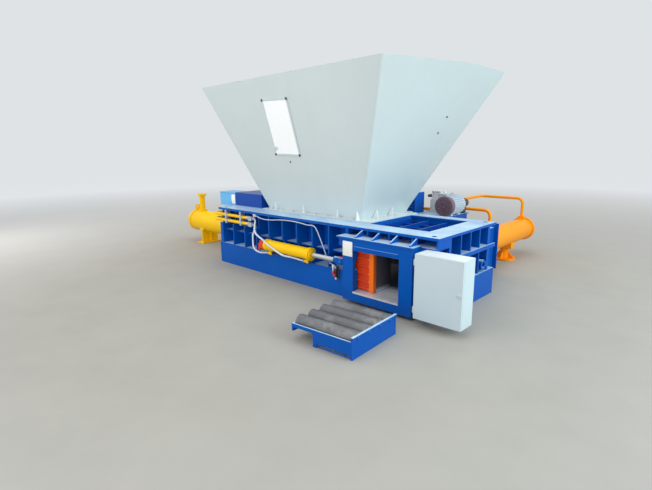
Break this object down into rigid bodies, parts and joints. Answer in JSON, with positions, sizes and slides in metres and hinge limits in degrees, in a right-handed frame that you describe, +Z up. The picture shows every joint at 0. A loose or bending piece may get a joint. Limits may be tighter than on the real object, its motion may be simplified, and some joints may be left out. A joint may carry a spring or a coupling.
{
  "type": "recycling baler",
  "caption": "Hydraulic scrap baler: a ribbed press body under a flared loading hopper, with a main ram, a side ram, a sliding bale door, a control cabinet and a roller tray.",
  "frame": {"origin": "middle of the press body's underside, on the floor", "axes": "+X from the main cylinder towards the bale chamber, -Y is the side with the door, +Z up"},
  "size_m": [5.472, 4.4963, 2.3],
  "materials": {
    "body_blue": "gloss enamel",
    "deep_blue": "gloss enamel",
    "light_blue": "gloss enamel",
    "hopper_grey": "satin paint",
    "trim_white": "satin paint",
    "window_white": "frosted sheet",
    "cylinder_orange": "gloss enamel",
    "door_orange": "gloss enamel",
    "worn_steel": "worn plate",
    "blade_steel": "ground",
    "ram_steel": "worn",
    "chrome_rod": "polished",
    "roller_steel": "mill scale",
    "cabinet_grey": "textured powder coat",
    "bare_plate": "plain",
    "switch_red": "moulded",
    "motor_green": "enamel",
    "cowl_maroon": "enamel",
    "pump_iron": "rough",
    "valve_beige": "enamel",
    "fitting_steel": "zinc plated",
    "hose_grey": "sleeved hose",
    "cable_grey": "matt"
  },
  "bodies": {
    "frame": {"base_frame": "body_blue", "near_wall": "body_blue", "far_wall": "body_blue", "end_wall": "body_blue", "rear_wall": "body_blue", "top_frame": "body_blue", "floor_liner": "worn_steel", "side_liners": "worn_steel", "chamber_cover": "deep_blue", "shear_beam": "body_blue", "fixed_blade": "blade_steel", "ram_housing": "deep_blue", "valve_box": "light_blue", "main_cylinder": "cylinder_orange", "main_cylinder_flange": "cylinder_orange", "main_cylinder_cap": "cylinder_orange", "main_cylinder_leg": "cylinder_orange", "side_ram_housing": "body_blue", "side_cylinder": "cylinder_orange", "side_cylinder_flange": "cylinder_orange", "side_cylinder_leg": "cylinder_orange", "door_frame": "body_blue", "door_sill": "blade_steel", "door_cylinder": "cylinder_orange", "door_gland": "cylinder_orange", "door_bracket": "door_orange", "label_plate": "bare_plate", "limit_switch": "switch_red", "cabinet_box": "cabinet_grey", "hopper_shell": "hopper_grey", "hopper_flange": "hopper_grey", "hopper_gussets": "trim_white", "window_frame": "hopper_grey", "window_pane": "window_white", "tray_frame": "body_blue", "oil_tank": "body_blue", "oil_cooler": "body_blue", "pump_motor": "motor_green", "motor_cowl": "cowl_maroon", "hydraulic_pump": "pump_iron", "valve_block": "valve_beige", "pressure_pipes": "cylinder_orange", "pipe_fittings": "fitting_steel", "hose_upper": "hose_grey", "hose_lower": "hose_grey", "switch_cable": "cable_grey"},
    "main_ram": {"main_ram_head": "ram_steel", "main_ram_blade": "blade_steel", "main_ram_rod": "chrome_rod"},
    "side_ram": {"side_ram_head": "ram_steel", "side_ram_rod": "chrome_rod"},
    "door": {"door_leaf": "door_orange", "door_rod": "chrome_rod", "door_clevis": "body_blue"},
    "cabinet_door": {"cabinet_door": "cabinet_grey"},
    "roller_1": {"roller_1": "roller_steel"},
    "roller_2": {"roller_2": "roller_steel"},
    "roller_3": {"roller_3": "roller_steel"},
    "roller_4": {"roller_4": "roller_steel"}
  },
  "joints": [
    {"name": "main_ram_slide", "type": "slide", "parent": "frame", "child": "main_ram", "axis": [1, 0, 0], "range_m": [0, 1.995]},
    {"name": "side_ram_slide", "type": "slide", "parent": "frame", "child": "side_ram", "axis": [0, -1, 0], "range_m": [0, 1.03]},
    {"name": "door_slide", "type": "slide", "parent": "frame", "child": "door", "axis": [1, 0, 0], "range_m": [0, 0.345]},
    {"name": "cabinet_door_hinge", "type": "hinge", "parent": "frame", "child": "cabinet_door", "pos_m": [1.579, -0.784, 0.37], "axis": [0, 0, -1], "range_deg": [0, 75]},
    {"name": "roller_1_spin", "type": "hinge", "parent": "frame", "child": "roller_1", "pos_m": [1.26475, -1.12221, 0.14], "axis": [0.9976, 0.0698, 0], "continuous": true},
    {"name": "roller_2_spin", "type": "hinge", "parent": "frame", "child": "roller_2", "pos_m": [1.27521, -1.27184, 0.14], "axis": [0.9976, 0.0698, 0], "continuous": true},
    {"name": "roller_3_spin", "type": "hinge", "parent": "frame", "child": "roller_3", "pos_m": [1.28567, -1.42148, 0.14], "axis": [0.9976, 0.0698, 0], "continuous": true},
    {"name": "roller_4_spin", "type": "hinge", "parent": "frame", "child": "roller_4", "pos_m": [1.29614, -1.57111, 0.14], "axis": [0.9976, 0.0698, 0], "continuous": true}
  ]
}
